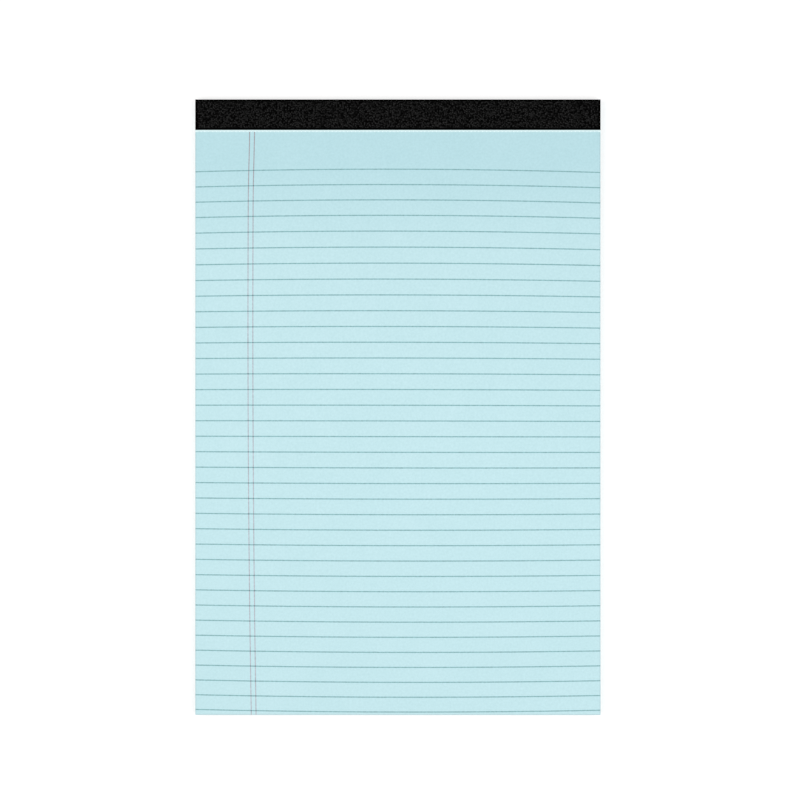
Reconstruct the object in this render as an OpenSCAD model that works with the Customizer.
// Head-bound legal pad: ruled sheets stapled to a stiff board, with a tape folded over the head.
// It lies on its back with the writing side up. +Y points to the bound head, -X to the printed
// margin, and z = 0 is the surface that the pad lies on. All sizes are in millimetres.

/* [Pad] */
// Width of the pad, along the rules
pad_w = 210; // [120:1:300]
// Length of the pad, from the foot to the outside of the fold at the head
pad_l = 319; // [180:1:450]

/* [Sheets] */
// Number of sheets in the block
sheet_count = 50; // [20:1:100]
// Thickness of one sheet
sheet_t = 0.095; // [0.06:0.005:0.15]

/* [Backing board] */
// Thickness of the board
board_t = 1; // [0.8:0.05:3]

/* [Binding tape] */
// Thickness of the tape
tape_t = 0.2; // [0.1:0.05:0.3]
// Width of the tape on the writing side
tape_front = 15.6; // [12:0.1:40]
// Width of the tape on the back of the board
tape_back = 19; // [12:0.1:60]
// Outside radius of the tape where it folds over the two edges of the head
fold_r = 0.6; // [0.4:0.05:1]

/* [Staples] */
// Number of staples along the head
staple_count = 3; // [2:1:5]
// Distance from the side of the pad to the middle of the outer staple
staple_inset = 35; // [15:1:50]
// Distance from the fold at the head to the staples
staple_from_head = 7.5; // [4:0.1:10]
// Width of a staple, between the middles of its legs
crown_w = 12; // [8:0.5:16]
// Diameter of the staple wire
wire_d = 0.5; // [0.4:0.05:0.7]
// Radius of the wire's bends, at its middle
bend_r = 0.6; // [0.5:0.05:1]
// Length of each leg that is clinched flat under the board
clinch_l = 3; // [1:0.1:3.5]
// Room around the wire where it is pressed into the paper and the board
seat_gap = 0.04; // [0.02:0.01:0.1]

/* [Tear-off perforation] */
// Distance from the edge of the tape to the middle of the perforation
perf_from_tape = 0.7; // [0.4:0.1:5]
// Distance between neighbouring cuts
perf_pitch = 2; // [1.6:0.1:5]
// Length of one cut
perf_cut_l = 1.4; // [0.5:0.1:1.8]
// Width of one cut
perf_cut_w = 0.2; // [0.1:0.05:0.4]

/* [Ruling] */
// Distance between neighbouring rules
rule_pitch = 8; // [5:0.1:12]
// Width of a rule
rule_w = 0.5; // [0.2:0.05:1]
// Distance from the edge of the tape to the middle of the first rule
rule_from_tape = 22.3; // [8:0.1:60]
// Distance from the left side of the sheet to the middle of the first margin rule
margin_from_side = 28.6; // [10:0.1:60]
// Distance between the two margin rules
margin_gap = 2.5; // [1:0.1:6]
// Width of a margin rule
margin_w = 0.4; // [0.2:0.05:1]
// Height that the ink stands above the paper
ink_t = 0.02; // [0.01:0.01:0.05]

/* [Hidden] */

$fn = 48;

PAPER_COLOUR = "#c3e7ec";
BOARD_COLOUR = "#9a8f80";
TAPE_COLOUR = "#141414";
WIRE_COLOUR = "#b9bcc0";
RULE_COLOUR = "#8fb9bd";
MARGIN_COLOUR = "#b3b4bf";

// Levels above the surface that the pad lies on
block_t = sheet_count * sheet_t;
block_top = board_t + block_t;
pad_t = block_top + tape_t;

// Places along the pad
foot_y = -pad_l / 2;
head_y = pad_l / 2;
tape_edge_y = head_y - tape_front;
tape_back_edge_y = head_y - tape_back;
staple_y = head_y - staple_from_head;
perf_y = tape_edge_y - perf_from_tape;
first_rule_y = tape_edge_y - rule_from_tape;

// The staple's crown lies flush in the top sheets, and its clinched ends flush in the board
crown_z = block_top - wire_d / 2 - seat_gap;
clinch_z = tape_t + wire_d / 2 + seat_gap;
staple_span = pad_w - 2 * staple_inset;

perf_count = floor((pad_w - perf_cut_l) / perf_pitch);
rule_room = tape_edge_y - rule_from_tape - foot_y - rule_w / 2;
rule_count = floor(rule_room / rule_pitch) + 1;

// Small overlap that lets a cut pass cleanly through a face
past = 0.5;

// Extrudes a side view, drawn as [y, z], across the whole width of the pad
module across_pad() {
    rotate([90, 0, 90])
        linear_extrude(pad_w, center = true) children();
}

// Side view of the pad, taken in on all sides but the foot, with both edges of the head rounded
module side_view(inset) {
    radius = fold_r - inset;
    head = head_y - inset;
    top = pad_t - inset;
    difference() {
        translate([foot_y, inset]) square([head - foot_y, top - inset]);
        for (low = [0, 1])
            translate([head - radius, low ? inset + radius : top - radius])
                mirror([0, low])
                    difference() {
                        square(radius + past);
                        circle(radius);
                    }
    }
}

// Side view between two levels
module side_view_between(low, high, inset) {
    intersection() {
        side_view(inset);
        translate([foot_y - past, low]) square([pad_l + 2 * past, high - low]);
    }
}

// One staple at the middle of the head, with its wire made thicker all round by grow
module staple(grow = 0) {
    diameter = wire_d + 2 * grow;
    straight = crown_w / 2 - bend_r;
    translate([0, staple_y, 0]) {
        translate([0, 0, crown_z])
            rotate([0, 90, 0]) cylinder(d = diameter, h = 2 * straight, center = true);
        for (side = [0, 1])
            mirror([side, 0, 0]) {
                translate([straight, 0, crown_z - bend_r])
                    staple_bend(diameter);
                translate([crown_w / 2, 0, clinch_z + bend_r])
                    cylinder(d = diameter, h = crown_z - clinch_z - 2 * bend_r);
                translate([straight, 0, clinch_z + bend_r])
                    mirror([0, 0, 1]) staple_bend(diameter);
                translate([straight - clinch_l - grow, 0, clinch_z])
                    rotate([0, 90, 0]) cylinder(d = diameter, h = clinch_l + grow);
            }
    }
}

// Quarter turn of wire, from pointing along X at the top to pointing down at the right
module staple_bend(diameter) {
    rotate([90, 0, 0])
        rotate_extrude(angle = 90) translate([bend_r, 0]) circle(d = diameter);
}

// Room for one staple: its wire, and open slots over the crown and under the clinched ends
module staple_seat() {
    width = wire_d + 2 * seat_gap;
    staple(seat_gap);
    for (slot = [[crown_z, block_top + past], [-past, clinch_z]])
        translate([0, staple_y, slot[0]])
            linear_extrude(slot[1] - slot[0]) {
                square([crown_w, width], center = true);
                for (side = [-1, 1]) translate([side * crown_w / 2, 0]) circle(d = width);
            }
}

// Repeats a staple, or its seat, evenly along the head
module along_head() {
    for (i = [0 : staple_count - 1])
        translate([staple_span * (i / (staple_count - 1) - 0.5), 0, 0]) children();
}

// Row of cuts through the top sheet, along which it tears off
module perforation() {
    for (i = [0 : perf_count - 1])
        translate([(i - (perf_count - 1) / 2) * perf_pitch, perf_y, block_top + (past - sheet_t) / 2])
            cube([perf_cut_l, perf_cut_w, past + sheet_t], center = true);
}

// Plan of the rules that are written on
module rule_plan() {
    for (i = [0 : rule_count - 1])
        translate([0, first_rule_y - i * rule_pitch]) square([pad_w, rule_w], center = true);
}

// Plan of the two margin rules, which run from the tape to the foot
module margin_plan() {
    for (i = [0, 1])
        translate([margin_from_side + i * margin_gap - pad_w / 2 - margin_w / 2, foot_y])
            square([margin_w, tape_edge_y - foot_y]);
}

// Lays a printed plan on the top sheet
module printed() {
    translate([0, 0, block_top]) linear_extrude(ink_t) children();
}

// All the sheets as one block, pierced by the staples
module sheet_block() {
    color(PAPER_COLOUR)
        difference() {
            across_pad() side_view_between(board_t, block_top, tape_t);
            along_head() staple_seat();
            perforation();
        }
}

// Stiff back of the pad, pressed in under the tape so that the pad lies flat
module backing_board() {
    color(BOARD_COLOUR)
        difference() {
            across_pad() {
                side_view_between(tape_t, board_t, tape_t);
                translate([foot_y, 0]) square([tape_back_edge_y - foot_y, board_t]);
            }
            along_head() staple_seat();
        }
}

// Tape folded over the head, from the top sheet round to the back of the board
module binding_tape() {
    color(TAPE_COLOUR)
        across_pad()
            difference() {
                side_view(0);
                side_view(tape_t);
                translate([foot_y - past, pad_t / 2])
                    square([tape_edge_y - foot_y + past, pad_t]);
                translate([foot_y - past, -pad_t / 2])
                    square([tape_back_edge_y - foot_y + past, pad_t]);
            }
}

// Wire staples that hold the sheets to the board under the tape
module staples() {
    color(WIRE_COLOUR) along_head() staple();
}

// Printed rules across the top sheet
module feint_rules() {
    color(RULE_COLOUR) printed() rule_plan();
}

// Printed double margin, broken where the rules cross it
module margin_rules() {
    color(MARGIN_COLOUR)
        printed()
            difference() {
                margin_plan();
                rule_plan();
            }
}

sheet_block();
backing_board();
binding_tape();
staples();
feint_rules();
margin_rules();
